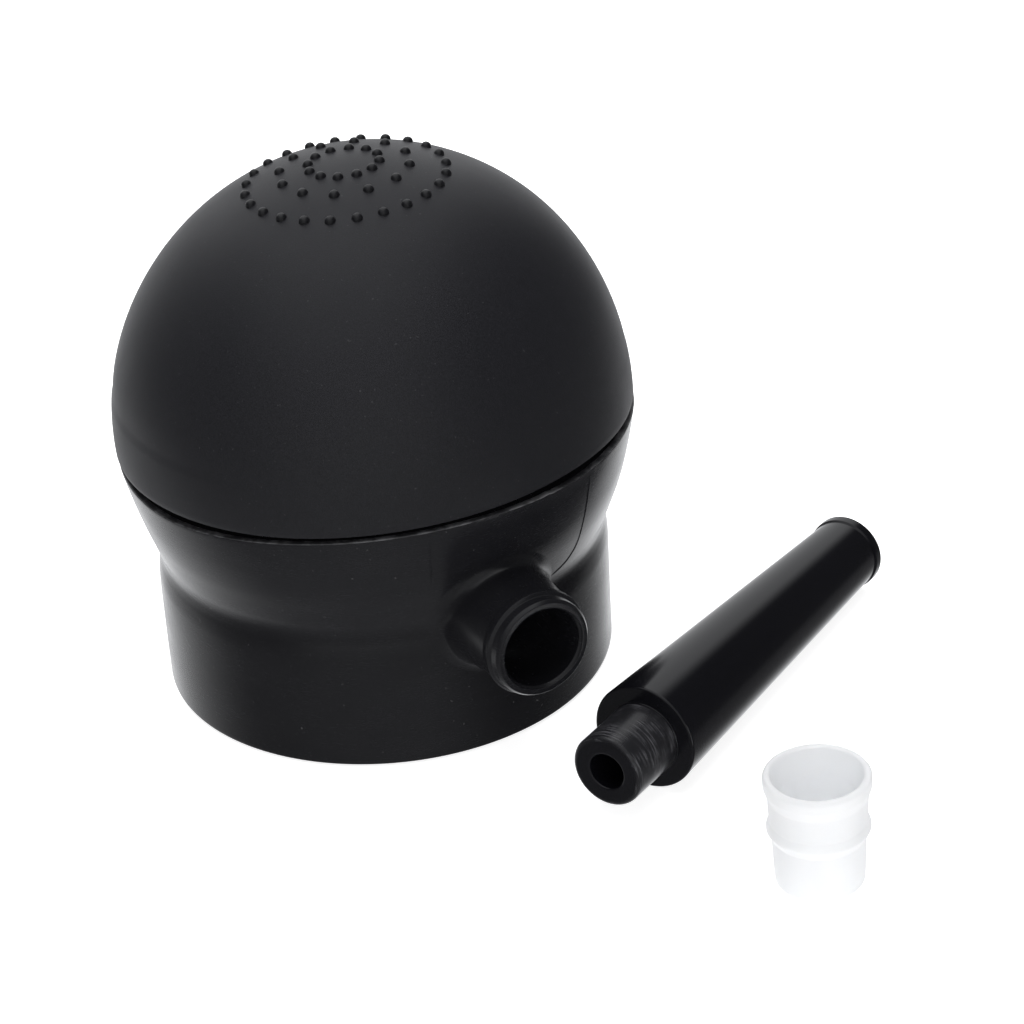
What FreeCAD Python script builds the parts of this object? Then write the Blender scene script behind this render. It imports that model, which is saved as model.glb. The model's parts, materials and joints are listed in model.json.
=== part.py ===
"""Hand blower: a silicone squeeze dome on a flared base with a side spout, a loose nozzle and its loose sleeve.

Millimetres, +Z up. The origin is on the base's axis, in the plane that the feet stand on. Parts that lie in line
with the spout are drawn with the spout along +X and then turned to SPOUT_AZIMUTH.
"""
import FreeCAD, Part
import math
import os

os.makedirs("parts", exist_ok=True)

V = FreeCAD.Vector
ORIGIN = V(0, 0, 0)
X_AXIS = V(1, 0, 0)
Y_AXIS = V(0, 1, 0)
Z_AXIS = V(0, 0, 1)

# Squeeze dome
DOME_R = 32.5
DOME_WALL = 2.5
DOME_CENTRE_Z = 35.4
CROWN_R = 14.5
NUB_R = 0.64
NUB_RINGS = ((4.4, 12), (8.0, 12), (12.3, 24))
NUB_PHASE = 171.5

# Base shell
BASE_BOTTOM_Z = 0.4
RIM_R = 32.7
RIM_Z = 35.0
SKIRT_R = 28.55
SKIRT_INNER_R = 26.4
SKIRT_TOP_Z = 17.2
RECESS_R = 30.7
SHELF_Z = 31.5
SHELF_T = 2.0
SHELF_INNER_R = 22.6
BOSS_R = 2.4
BOSS_DEPTH = 5.0
WEB_LENGTH = 6.0
WEB_T = 1.6

# Spout, in line with +X before it is turned
SPOUT_AZIMUTH = -62.4
SPOUT_Z = 19.6
SPOUT_END = 40.1
SPOUT_BORE_R = 5.07
SPOUT_ROOT_FILLET = 1.8
SPOUT_STEP_X = 25.2
COLLAR_START = 19.0
COLLAR_R = 6.9
COLLAR_BORE_R = 4.9

# Clamped stack on the shelf
GASKET_T = 0.4
DECK_R = 27.0
DECK_T = 2.0
DECK_Z = SHELF_Z + GASKET_T
DECK_TOP = DECK_Z + DECK_T
FLANGE_INNER_R = 27.2
FLANGE_OUTER_R = 30.4
CLAMP_INNER_R = 22.4
CLAMP_OUTER_R = 29.0
CLAMP_T = 1.8
CLAMP_TOP = DECK_TOP + CLAMP_T
CLAMP_SCREW_R = 24.6
CLAMP_SCREWS = 4

# Screws
SHANK_R = 1.0
CLEAR_R = 1.15
HEAD_R = 1.9
HEAD_H = 1.2
SCREW_LENGTH = 8.0
CROSS_LENGTH = 2.2
CROSS_WIDTH = 0.5

# One-way valves
PORT_X = 10.0
STUD_R = 1.5
DISC_T = 0.8
DISC_GAP = 0.05
LIFT = 1.2
INLET_DISC_R = 6.5
OUTLET_DISC_R = 4.8
INLET_HEAD_R = 2.9
OUTLET_HEAD_R = 2.6
PORT_HOLES = 6
# side of the deck, radius of the holes round the stud, radius that they lie on
PORTS = ((-1, 1.3, 4.2), (1, 1.0, 3.1))

# Outlet duct
DUCT_R = 7.3
DUCT_BORE_R = 6.0
DUCT_FLOOR_Z = 13.9
ARM_R = 6.2
ARM_BORE_R = 3.4
ARM_END = 18.6
PLUG_R = 4.85
PLUG_END = 25.0
SEAL_X = 21.5
SEAL_RING_R = 4.5
SEAL_SECTION_R = 0.4

# Bottom cover and intake
COVER_R = 26.2
COVER_Z = 1.2
COVER_T = 2.0
COVER_TOP = COVER_Z + COVER_T
HUB_R = 5.0
PILLAR_PITCH_R = 21.8
PILLAR_TOP = 15.5
COVER_SCREWS = 3
FILTER_R = 16.5
FILTER_T = 4.0
CUP_R = 17.8
COVER_RECESS_R = 19.0
COVER_FLANGE_H = 2.6
COVER_FLANGE_T = 1.4
COUNTERBORE_Z = BASE_BOTTOM_Z + 0.2 + HEAD_H
SLOTS = 12
SLOT_LENGTH = 8.0
SLOT_WIDTH = 2.0
SLOT_PITCH_R = 11.0
RETAINER_T = 1.2
RETAINER_SPOKES = 6
SPOKE_WIDTH = 1.4
PAD_INNER_R = 23.0
PAD_OUTER_R = 25.6
PAD_TOP = 1.0
PAD_SPAN = 80.0

# Nozzle, lying on its shoulder and its end collar
NOZZLE_SHOULDER = (29.7, -36.9)
NOZZLE_HEADING = 55.1
STEM_R = 4.64
STEM_LENGTH = 8.7
SHOULDER_R = 6.85
TIP_R = 4.9
BODY_LENGTH = 52.2
NOZZLE_BORE_R = 2.3
NOZZLE_MOUTH_R = 3.2

# Sleeve, standing on end
SLEEVE_AT = (48.2, -58.3)
SLEEVE_H = 14.4
SLEEVE_BORE_R = 4.72


def turned(start, *steps):
    """Solid of revolution about Z from an (r, z) outline; a step of two points is an arc through the first."""
    first = V(start[0], 0, start[1])
    here = first
    edges = []
    for step in steps:
        if isinstance(step[0], tuple):
            middle, end = [V(r, 0, z) for r, z in step]
            edges.append(Part.Arc(here, middle, end).toShape())
        else:
            end = V(step[0], 0, step[1])
            edges.append(Part.LineSegment(here, end).toShape())
        here = end
    edges.append(Part.LineSegment(here, first).toShape())
    return Part.Face(Part.Wire(edges)).revolve(ORIGIN, Z_AXIS, 360)


def rod(radius, low, high, x=0.0, y=0.0):
    return Part.makeCylinder(radius, high - low, V(x, y, low))


def ring(inner, outer, low, high):
    return rod(outer, low, high).cut(rod(inner, low, high))


def block(x_size, y_size, low, high, x=0.0, y=0.0):
    return Part.makeBox(x_size, y_size, high - low, V(x - x_size / 2, y - y_size / 2, low))


def turn(shape, degrees, axis=Z_AXIS, centre=ORIGIN):
    copy = shape.copy()
    copy.rotate(centre, axis, degrees)
    return copy


def moved(shape, x, y, z):
    copy = shape.copy()
    copy.translate(V(x, y, z))
    return copy


def around(shape, count, first=0.0):
    return [turn(shape, first + 360.0 * i / count) for i in range(count)]


def joined(shape, others):
    return shape.fuse(others).removeSplitter()


def lie_along_x(shape):
    """Lay a shape that was turned about Z along +X, at the height of the spout's axis."""
    return moved(turn(shape, 90, Y_AXIS), 0, 0, SPOUT_Z)


def to_spout(shape):
    return turn(shape, SPOUT_AZIMUTH)


def dome_height(radius, sphere=DOME_R):
    return DOME_CENTRE_Z + math.sqrt(sphere ** 2 - radius ** 2)


def dome_point(sphere, degrees):
    """(r, z) on a sphere about the dome's centre, degrees above its equator."""
    angle = math.radians(degrees)
    return (sphere * math.cos(angle), DOME_CENTRE_Z + sphere * math.sin(angle))


CUT_Z = dome_height(CROWN_R)
INNER_R = DOME_R - DOME_WALL
INNER_CUT_R = math.sqrt(INNER_R ** 2 - (CUT_Z - DOME_CENTRE_Z) ** 2)
CLAMP_FIRST = SPOUT_AZIMUTH + 45.0
PILLAR_FIRST = SPOUT_AZIMUTH + 60.0


def bulb_crown():
    """The rigid-moving cap of the dome, with its grip nubs."""
    crown = turned(
        (0, DOME_CENTRE_Z + INNER_R),
        (dome_point(INNER_R, 83), (INNER_CUT_R, CUT_Z)),
        (CROWN_R, CUT_Z),
        (dome_point(DOME_R, 76), (0, DOME_CENTRE_Z + DOME_R)),
    )
    nubs = []
    for radius, count in NUB_RINGS:
        nub = Part.makeSphere(NUB_R, V(radius, 0, dome_height(radius)))
        nubs += around(nub, count, NUB_PHASE)
    return joined(crown, nubs)


def bulb_wall():
    """The flexing wall of the dome, its neck and the flange that is clamped on the shelf."""
    chamfer = 1.0
    start_r = math.sqrt(INNER_R ** 2 - chamfer ** 2)
    neck_inner_r = CLAMP_OUTER_R + 0.2
    return turned(
        (FLANGE_INNER_R, SHELF_Z),
        (FLANGE_OUTER_R, SHELF_Z),
        (FLANGE_OUTER_R, DOME_CENTRE_Z),
        (DOME_R, DOME_CENTRE_Z),
        (dome_point(DOME_R, 30), (CROWN_R, CUT_Z)),
        (INNER_CUT_R, CUT_Z),
        (dome_point(INNER_R, 30), (start_r, DOME_CENTRE_Z + chamfer)),
        (neck_inner_r, DOME_CENTRE_Z),
        (neck_inner_r, DECK_TOP),
        (FLANGE_INNER_R, DECK_TOP),
    )


def shell_outside():
    return turned(
        (0, BASE_BOTTOM_Z),
        (SKIRT_R, BASE_BOTTOM_Z),
        (SKIRT_R, SKIRT_TOP_Z),
        ((SKIRT_R + 0.12, SKIRT_TOP_Z + 1.5), (SKIRT_R + 0.48, SKIRT_TOP_Z + 3.0)),
        ((31.1, 27.3), (RIM_R, RIM_Z - 0.4)),
        ((RIM_R - 0.1, RIM_Z - 0.1), (RIM_R - 0.4, RIM_Z)),
        (0, RIM_Z),
    )


def shell_inside():
    """The room below the shelf and the recess above it, as one cutting solid."""
    under = SHELF_Z - SHELF_T
    return turned(
        (0, 0),
        (SKIRT_INNER_R, 0),
        (SKIRT_INNER_R, SKIRT_TOP_Z),
        ((SKIRT_INNER_R + 0.12, SKIRT_TOP_Z + 1.5), (SKIRT_INNER_R + 0.48, SKIRT_TOP_Z + 3.0)),
        ((28.5, 25.2), (29.6, under)),
        (SHELF_INNER_R, under),
        (SHELF_INNER_R, SHELF_Z),
        (RECESS_R, SHELF_Z),
        (RECESS_R, RIM_Z + 1),
        (0, RIM_Z + 1),
    )


def spout_outside():
    spout = turned(
        (0, 24.0),
        (7.5, 24.0),
        (6.4, 37.2),
        ((6.62, 37.5), (6.72, 38.0)),
        (6.72, 38.7),
        (6.25, 39.2),
        (6.1, SPOUT_END - 0.2),
        (5.9, SPOUT_END),
        (0, SPOUT_END),
    )
    return lie_along_x(spout)


def filleted_root(body, radius):
    """Round the seam where the spout leaves the bowl."""
    seam = []
    for edge in body.Edges:
        middle = edge.CenterOfMass
        reach = edge.BoundBox
        on_root = reach.XMin > 20 and reach.XMax < 34 and abs(middle.y) < 9
        if on_root and reach.ZMin > SPOUT_Z - 9 and reach.ZMax < SPOUT_Z + 9:
            seam.append(edge)
    return body.makeFillet(radius, seam)


def base_shell():
    """Bowl, skirt and spout in one moulding, with its shelf, screw bosses, pillars and inner spout collar."""
    outside = filleted_root(shell_outside().fuse(spout_outside()), SPOUT_ROOT_FILLET)
    shell = to_spout(outside).cut(shell_inside())
    boss = rod(BOSS_R, SHELF_Z - BOSS_DEPTH, SHELF_Z, CLAMP_SCREW_R)
    pillar = rod(BOSS_R, COVER_TOP, PILLAR_TOP, PILLAR_PITCH_R)
    web = block(WEB_LENGTH, WEB_T, COVER_TOP + 3.0, PILLAR_TOP, PILLAR_PITCH_R + BOSS_R)
    collar = lie_along_x(rod(COLLAR_R, COLLAR_START, 28.0))
    inner_parts = around(boss, CLAMP_SCREWS, CLAMP_FIRST)
    inner_parts += around(pillar.fuse(web), COVER_SCREWS, PILLAR_FIRST)
    inner_parts.append(to_spout(collar))
    hull = shell_outside()
    shell = joined(shell, [part.common(hull) for part in inner_parts])
    bore = lie_along_x(rod(SPOUT_BORE_R, SPOUT_STEP_X, SPOUT_END + 1.0))
    collar_bore = lie_along_x(rod(COLLAR_BORE_R, COLLAR_START - 1.0, SPOUT_STEP_X))
    chamfer = 0.3
    wide_r = SPOUT_BORE_R + 2 * chamfer
    mouth = lie_along_x(Part.makeCone(SPOUT_BORE_R, wide_r, 2 * chamfer, V(0, 0, SPOUT_END - chamfer)))
    clamp_hole = rod(SHANK_R, CLAMP_TOP - SCREW_LENGTH, SHELF_Z, CLAMP_SCREW_R)
    pillar_hole = rod(SHANK_R, COVER_TOP, COVER_TOP + SCREW_LENGTH, PILLAR_PITCH_R)
    holes = around(clamp_hole, CLAMP_SCREWS, CLAMP_FIRST)
    holes += around(pillar_hole, COVER_SCREWS, PILLAR_FIRST)
    return shell.cut([to_spout(cut) for cut in (bore, collar_bore, mouth)] + holes)


def deck_gasket():
    holes = around(rod(CLEAR_R, SHELF_Z, DECK_Z, CLAMP_SCREW_R), CLAMP_SCREWS, CLAMP_FIRST)
    return ring(SHELF_INNER_R + 0.3, DECK_R, SHELF_Z, DECK_Z).cut(holes)


def air_deck():
    """The partition under the dome, with the intake port on the -X side and the outlet port on the +X side."""
    deck = rod(DECK_R, DECK_Z, DECK_TOP)
    cuts = around(rod(CLEAR_R, DECK_Z, DECK_TOP, CLAMP_SCREW_R), CLAMP_SCREWS, CLAMP_FIRST)
    for side, hole_r, hole_pitch in PORTS:
        port = [rod(STUD_R, DECK_Z, DECK_TOP)] + around(rod(hole_r, DECK_Z, DECK_TOP, hole_pitch), PORT_HOLES)
        cuts += [to_spout(moved(hole, side * PORT_X, 0, 0)) for hole in port]
    return deck.cut(cuts)


def bulb_clamp_ring():
    holes = around(rod(CLEAR_R, DECK_TOP, CLAMP_TOP, CLAMP_SCREW_R), CLAMP_SCREWS, CLAMP_FIRST)
    body = turned(
        (CLAMP_INNER_R, DECK_TOP),
        (CLAMP_OUTER_R, DECK_TOP),
        (CLAMP_OUTER_R, CLAMP_TOP - 0.5),
        (CLAMP_OUTER_R - 0.5, CLAMP_TOP),
        (CLAMP_INNER_R + 0.4, CLAMP_TOP),
        (CLAMP_INNER_R, CLAMP_TOP - 0.4),
    )
    return body.cut(holes)


def screw(under_head, length, head_up):
    """Pan-head screw on Z; its head is above under_head, or below it if head_up is false."""
    head = turned(
        (0, 0),
        (HEAD_R, 0),
        (HEAD_R, HEAD_H * 0.5),
        ((HEAD_R * 0.8, HEAD_H * 0.85), (HEAD_R * 0.5, HEAD_H)),
        (0, HEAD_H),
    )
    slot_low = HEAD_H * 0.45
    slot = block(CROSS_LENGTH, CROSS_WIDTH, slot_low, HEAD_H)
    cross = [slot, turn(slot, 90)]
    shank = turned((0, 0), (0, -length), (SHANK_R * 0.5, -length), (SHANK_R, -length + 0.8), (SHANK_R, 0))
    part = head.fuse(shank).removeSplitter().cut(cross)
    if not head_up:
        part = turn(part, 180, X_AXIS)
    return moved(part, 0, 0, under_head)


def clamp_screws():
    one = moved(screw(CLAMP_TOP, SCREW_LENGTH, True), CLAMP_SCREW_R, 0, 0)
    return Part.makeCompound(around(one, CLAMP_SCREWS, CLAMP_FIRST))


def cover_screws():
    one = moved(screw(COUNTERBORE_Z, SCREW_LENGTH, False), PILLAR_PITCH_R, 0, 0)
    return Part.makeCompound(around(one, COVER_SCREWS, PILLAR_FIRST))


def valve_disc(radius, low):
    return turned(
        (STUD_R + 0.25, low),
        (radius, low),
        (radius, low + DISC_T * 0.5),
        (radius - 0.6, low + DISC_T),
        (STUD_R + 0.25, low + DISC_T),
    )


def inlet_valve_disc():
    return to_spout(moved(valve_disc(INLET_DISC_R, DECK_TOP + DISC_GAP), -PORT_X, 0, 0))


def outlet_valve_disc():
    upright = valve_disc(OUTLET_DISC_R, 0)
    hung = moved(turn(upright, 180, X_AXIS), PORT_X, 0, DECK_Z - DISC_GAP)
    return to_spout(hung)


def valve_stud(head_r):
    """Barbed peg for one valve; its head stops the disc at the end of its lift. Z = 0 is the deck's face."""
    head_low = DISC_GAP + DISC_T + LIFT
    return turned(
        (0, -DECK_T - 1.0),
        (STUD_R * 0.7, -DECK_T - 1.0),
        (STUD_R + 0.5, -DECK_T - 0.05),
        (STUD_R, -DECK_T - 0.05),
        (STUD_R, head_low),
        (head_r, head_low),
        (head_r, head_low + 0.4),
        (head_r - 0.5, head_low + 0.9),
        (0, head_low + 0.9),
    )


def inlet_valve_stud():
    return to_spout(moved(valve_stud(INLET_HEAD_R), -PORT_X, 0, DECK_TOP))


def outlet_valve_stud():
    return to_spout(moved(turn(valve_stud(OUTLET_HEAD_R), 180, X_AXIS), PORT_X, 0, DECK_Z))


def outlet_duct():
    """Elbow that takes the air from the outlet port down and out to the spout."""
    arm = lie_along_x(rod(ARM_R, PORT_X, ARM_END).fuse(rod(PLUG_R, ARM_END, PLUG_END)))
    body = rod(DUCT_R, DUCT_FLOOR_Z, DECK_Z, PORT_X).fuse(arm).removeSplitter()
    well = rod(DUCT_BORE_R, DUCT_FLOOR_Z + 1.3, DECK_Z, PORT_X)
    passage = lie_along_x(rod(ARM_BORE_R, PORT_X, PLUG_END))
    groove_half = SEAL_SECTION_R + 0.2
    groove_floor = SEAL_RING_R - SEAL_SECTION_R - 0.02
    groove = lie_along_x(ring(groove_floor, PLUG_R, SEAL_X - groove_half, SEAL_X + groove_half))
    return to_spout(body.cut([well, passage, groove]))


def duct_seal():
    return to_spout(lie_along_x(Part.makeTorus(SEAL_RING_R, SEAL_SECTION_R, V(0, 0, SEAL_X))))


def foot_arc(low):
    """One of the foot segments, between two cover screws, from a height up to its seat."""
    band = ring(PAD_INNER_R, PAD_OUTER_R, low, PAD_TOP)
    wedge = Part.makeCylinder(PAD_OUTER_R + 1.0, PAD_TOP - low, V(0, 0, low), Z_AXIS, PAD_SPAN)
    return turn(band.common(wedge), -PAD_SPAN / 2)


def foot_pads():
    return Part.makeCompound(around(foot_arc(0), COVER_SCREWS, PILLAR_FIRST + 60.0))


def bottom_cover():
    """Floor of the base: intake slots, filter cup, screw holes and seats for the foot segments."""
    plate = turned(
        (0, 0),
        (HUB_R - 0.4, 0),
        (HUB_R, 0.4),
        (HUB_R, COVER_Z),
        (COVER_RECESS_R, COVER_Z),
        (COVER_RECESS_R, BASE_BOTTOM_Z),
        (COVER_R, BASE_BOTTOM_Z),
        (COVER_R, COVER_TOP + COVER_FLANGE_H),
        (COVER_R - COVER_FLANGE_T, COVER_TOP + COVER_FLANGE_H),
        (COVER_R - COVER_FLANGE_T, COVER_TOP),
        (0, COVER_TOP),
    )
    plate = joined(plate, [ring(FILTER_R + 0.2, CUP_R, COVER_TOP, COVER_TOP + FILTER_T + 0.4)])
    slot = block(SLOT_LENGTH, SLOT_WIDTH, COVER_Z, COVER_TOP, SLOT_PITCH_R)
    counterbore = rod(HEAD_R + 0.3, BASE_BOTTOM_Z, COUNTERBORE_Z, PILLAR_PITCH_R)
    screw_hole = rod(CLEAR_R, BASE_BOTTOM_Z, COVER_TOP, PILLAR_PITCH_R)
    cuts = around(slot, SLOTS)
    cuts += around(counterbore.fuse(screw_hole), COVER_SCREWS, PILLAR_FIRST)
    cuts += around(foot_arc(BASE_BOTTOM_Z), COVER_SCREWS, PILLAR_FIRST + 60.0)
    return plate.cut(cuts)


def intake_filter():
    return turned(
        (0, COVER_TOP),
        (FILTER_R - 0.3, COVER_TOP),
        (FILTER_R, COVER_TOP + 0.3),
        (FILTER_R, COVER_TOP + FILTER_T),
        (0, COVER_TOP + FILTER_T),
    )


def filter_retainer():
    """Ring cap over the filter cup, with spokes that hold the pad down."""
    low = COVER_TOP + FILTER_T + 0.4
    high = low + RETAINER_T
    rim = ring(CUP_R - 4.0, CUP_R, low, high)
    lip = ring(CUP_R + 0.1, CUP_R + 1.0, low - 3.0, high)
    top = ring(CUP_R - 1.0, CUP_R + 1.0, low, high)
    spoke_length = CUP_R - 2.0
    spokes = around(block(spoke_length, SPOKE_WIDTH, low, high, spoke_length / 2), RETAINER_SPOKES)
    return joined(rim, [lip, top, rod(3.0, low, high)] + spokes)


def nozzle():
    """Tapered nozzle: plain stem, square shoulder, long cone and a small collar at the tip."""
    collar_start = BODY_LENGTH - 1.6
    cone_r = TIP_R - 0.25
    solid = turned(
        (0, -STEM_LENGTH),
        (STEM_R - 0.55, -STEM_LENGTH),
        ((STEM_R - 0.16, -STEM_LENGTH + 0.16), (STEM_R, -STEM_LENGTH + 0.55)),
        (STEM_R, 0),
        (SHOULDER_R - 0.35, 0),
        ((SHOULDER_R - 0.1, 0.1), (SHOULDER_R, 0.35)),
        (cone_r, collar_start),
        (TIP_R, collar_start + 0.25),
        (TIP_R, BODY_LENGTH - 0.3),
        ((TIP_R - 0.09, BODY_LENGTH - 0.09), (TIP_R - 0.3, BODY_LENGTH)),
        (0, BODY_LENGTH),
    )
    bore = rod(NOZZLE_BORE_R, -STEM_LENGTH - 1.0, 2.0)
    cone = turned(
        (0, 1.0),
        (NOZZLE_BORE_R, 1.0),
        (NOZZLE_MOUTH_R, BODY_LENGTH + 0.5),
        (0, BODY_LENGTH + 0.5),
    )
    lying = turn(solid.cut([bore, cone]), 90, Y_AXIS)
    # the cone's lower side lies on the table: it touches at the shoulder and at the tip collar
    slope = math.degrees(math.asin((SHOULDER_R - TIP_R) / BODY_LENGTH))
    height = SHOULDER_R * math.cos(math.radians(slope))
    tilted = turn(lying, slope, Y_AXIS)
    return moved(turn(tilted, NOZZLE_HEADING), NOZZLE_SHOULDER[0], NOZZLE_SHOULDER[1], height)


def nozzle_sleeve():
    """Soft bush that takes the nozzle's stem: flared top lip, bead ring at mid height, rounded foot."""
    body = turned(
        (SLEEVE_BORE_R, 0.25),
        (SLEEVE_BORE_R + 0.15, 0),
        ((5.05, 0.25), (5.25, 1.1)),
        (5.5, 6.2),
        ((6.1, 7.3), (5.7, 8.4)),
        (5.85, 11.6),
        ((6.2, 12.4), (6.3, 13.4)),
        ((6.2, 14.15), (5.8, SLEEVE_H)),
        ((5.4, 14.2), (5.2, 13.6)),
        (SLEEVE_BORE_R, 11.0),
    )
    return moved(body, SLEEVE_AT[0], SLEEVE_AT[1], 0)


SUB_PARTS = (
    base_shell,
    bulb_crown,
    bulb_wall,
    bulb_clamp_ring,
    clamp_screws,
    air_deck,
    deck_gasket,
    inlet_valve_disc,
    inlet_valve_stud,
    outlet_valve_disc,
    outlet_valve_stud,
    outlet_duct,
    duct_seal,
    bottom_cover,
    cover_screws,
    intake_filter,
    filter_retainer,
    foot_pads,
    nozzle,
    nozzle_sleeve,
)

for sub_part in SUB_PARTS:
    sub_part().exportStep(f"parts/{sub_part.__name__}.step")
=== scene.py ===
"""Looks of the hand blower: a matt silicone squeeze dome with grip nubs, on a flared glossy base with a side
spout, and beside it a loose tapered nozzle and a milky silicone sleeve.

Lengths are in millimetres until a piece is made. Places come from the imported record's mounts and the nodes'
boxes.
"""

import json
import math

import bmesh
import bpy
from mathutils import Matrix, Vector


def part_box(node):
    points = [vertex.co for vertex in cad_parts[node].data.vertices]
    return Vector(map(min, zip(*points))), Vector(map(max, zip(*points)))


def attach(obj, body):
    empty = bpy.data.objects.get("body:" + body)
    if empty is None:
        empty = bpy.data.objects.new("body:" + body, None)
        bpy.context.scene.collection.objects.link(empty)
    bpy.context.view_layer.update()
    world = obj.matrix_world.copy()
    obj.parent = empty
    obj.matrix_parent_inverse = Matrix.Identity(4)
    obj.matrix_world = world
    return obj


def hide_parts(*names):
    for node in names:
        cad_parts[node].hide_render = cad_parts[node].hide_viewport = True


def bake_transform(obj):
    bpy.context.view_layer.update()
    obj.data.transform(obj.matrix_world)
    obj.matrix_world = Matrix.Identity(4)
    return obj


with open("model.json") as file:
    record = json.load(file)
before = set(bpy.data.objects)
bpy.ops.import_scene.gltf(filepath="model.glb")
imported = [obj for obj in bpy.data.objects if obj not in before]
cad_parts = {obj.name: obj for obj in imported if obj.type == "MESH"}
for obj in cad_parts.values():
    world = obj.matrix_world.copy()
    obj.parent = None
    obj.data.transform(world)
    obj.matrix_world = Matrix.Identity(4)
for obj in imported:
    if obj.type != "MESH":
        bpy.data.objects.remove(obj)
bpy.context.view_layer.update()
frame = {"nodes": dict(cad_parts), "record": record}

MM = 0.001
SEGMENTS = 192
BASE_SEGMENTS = 720
MOUNTS = {mount["name"]: mount for mount in frame["record"]["mounts"]}

# Squeeze dome
DOME_R = 32.5
DOME_WALL = 2.5
DOME_CENTRE_Z = 35.4
NECK_R = 30.4
FLANGE_R = 27.2
FLANGE_TOP = 33.9
DOME_EDGE_REACH = 9.0
NUB_R = 0.64
# (radius of the ring, number of nubs)
NUB_RINGS = ((4.4, 12), (8.0, 12), (12.3, 24))
NUB_PHASE = 171.5
NUB_LEAN = Matrix.Rotation(math.radians(-1.7), 3, "X") @ Matrix.Rotation(math.radians(-2.1), 3, "Y")

# Base
RIM_Z = 35.0
RIM_R = 32.7
BOWL_TOP_Z = 34.5
SEAM_REACH_Z = 27.0
# depth below the rim's edge of the faces that carry the painted highlight
RIM_FACE_DEPTH = 0.13
SHELF_Z = 31.5
RECESS_R = 30.7
SHELF_INNER_R = 22.6
SHELF_UNDERSIDE_Z = 29.5
SKIRT_INNER_R = 26.4
# the skirt, a shallow waist and the flaring bowl, as (r, z)
BOWL_OUTSIDE = [
    (28.62, 0.75), (28.66, 6.0), (28.7, 12.0), (28.7, 14.6), (28.66, 15.7), (28.52, 16.8), (28.36, 17.8),
    (28.33, 18.7), (28.55, 19.7), (28.98, 20.9), (29.62, 22.7), (30.42, 25.0), (31.15, 27.5), (31.75, 30.0),
    (32.25, 32.4), (32.62, BOWL_TOP_Z)]
# torn lumps of the rim's flash: (azimuth in degrees, width in degrees, height)
RIM_LUMPS = ((309.0, 0.7, 0.16), (311.0, 0.5, -0.08), (324.5, 0.9, 0.14), (233.0, 0.6, 0.08))
# (azimuth in degrees, height) along each raised mould line
PARTING_LINES = (
    ((323.0, 34.5), (323.0, 31.0), (323.0, 27.0), (323.0, 23.5), (321.8, 22.0), (319.4, 21.0),
     (315.0, 20.3)),
    ((281.0, 34.0), (281.0, 30.0), (281.0, 26.5)),
    ((143.0, 34.5), (143.0, 28.0), (143.0, 20.0), (143.0, 10.0), (143.0, 1.0)),
)
LINE_HALF_WIDTH = 0.12
LINE_HEIGHT = 0.09

# Spout, along its own axis
SPOUT_X = 32.5
SPOUT_END = 40.1
SPOUT_TUBE_END = 37.1
# radius and place of the tube's taper at each end
SPOUT_TAPER = ((7.5, 24.0), (6.4, 37.2))
SPOUT_TAPER_MIDDLE_R = 7.0
SPOUT_BORE_R = 5.07
COLLAR_START = 19.0
COLLAR_R = 6.9
COLLAR_BORE_R = 4.9
SPOUT_STEP_X = 25.2
ROOT_BLEND = 2.0
ROOT_ROWS = 13

# Nozzle, along its own axis from its shoulder
STEM_R = 4.64
STEM_LENGTH = 8.7
SHOULDER_R = 6.85
TIP_R = 4.9
BODY_LENGTH = 52.2
MOUNT_TO_SHOULDER = 4.0
END_COLLAR = 1.6
NOZZLE_BORE_R = 2.3
NOZZLE_MOUTH_R = 3.2

# Sleeve
SLEEVE_H = 14.4
SLEEVE_BORE_R = 4.72


# ---------------------------------------------------------------- outlines

def smooth(value, low, high):
    """0 below low, 1 above high, and an even ease between."""
    t = min(1.0, max(0.0, (value - low) / (high - low)))
    return t * t * (3 - 2 * t)


def arc(start, middle, end, steps=12):
    """Points of the arc through three (r, z) points, ends included."""
    (ax, ay), (bx, by), (cx, cy) = start, middle, end
    d = 2 * (ax * (by - cy) + bx * (cy - ay) + cx * (ay - by))
    a2, b2, c2 = ax * ax + ay * ay, bx * bx + by * by, cx * cx + cy * cy
    ox = (a2 * (by - cy) + b2 * (cy - ay) + c2 * (ay - by)) / d
    oy = (a2 * (cx - bx) + b2 * (ax - cx) + c2 * (bx - ax)) / d
    radius = math.hypot(ax - ox, ay - oy)
    first = math.atan2(ay - oy, ax - ox)
    last = math.atan2(cy - oy, cx - ox)
    mid = math.atan2(by - oy, bx - ox)
    turn = (last - first) % math.tau
    if (mid - first) % math.tau > turn:
        turn -= math.tau
    angles = [first + turn * i / steps for i in range(steps + 1)]
    return [(ox + radius * math.cos(a), oy + radius * math.sin(a)) for a in angles]


def through(points, steps=8):
    """Smooth curve through (r, z) points (Catmull-Rom)."""
    padded = [points[0]] + list(points) + [points[-1]]
    curve = []
    for a, b, c, d in zip(padded, padded[1:], padded[2:], padded[3:]):
        for i in range(steps):
            t = i / steps
            curve.append(tuple(
                0.5 * (2 * q + (r - p) * t + (2 * p - 5 * q + 4 * r - s) * t ** 2
                       + (3 * q - p - 3 * r + s) * t ** 3)
                for p, q, r, s in zip(a, b, c, d)))
    return curve + [points[-1]]


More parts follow.
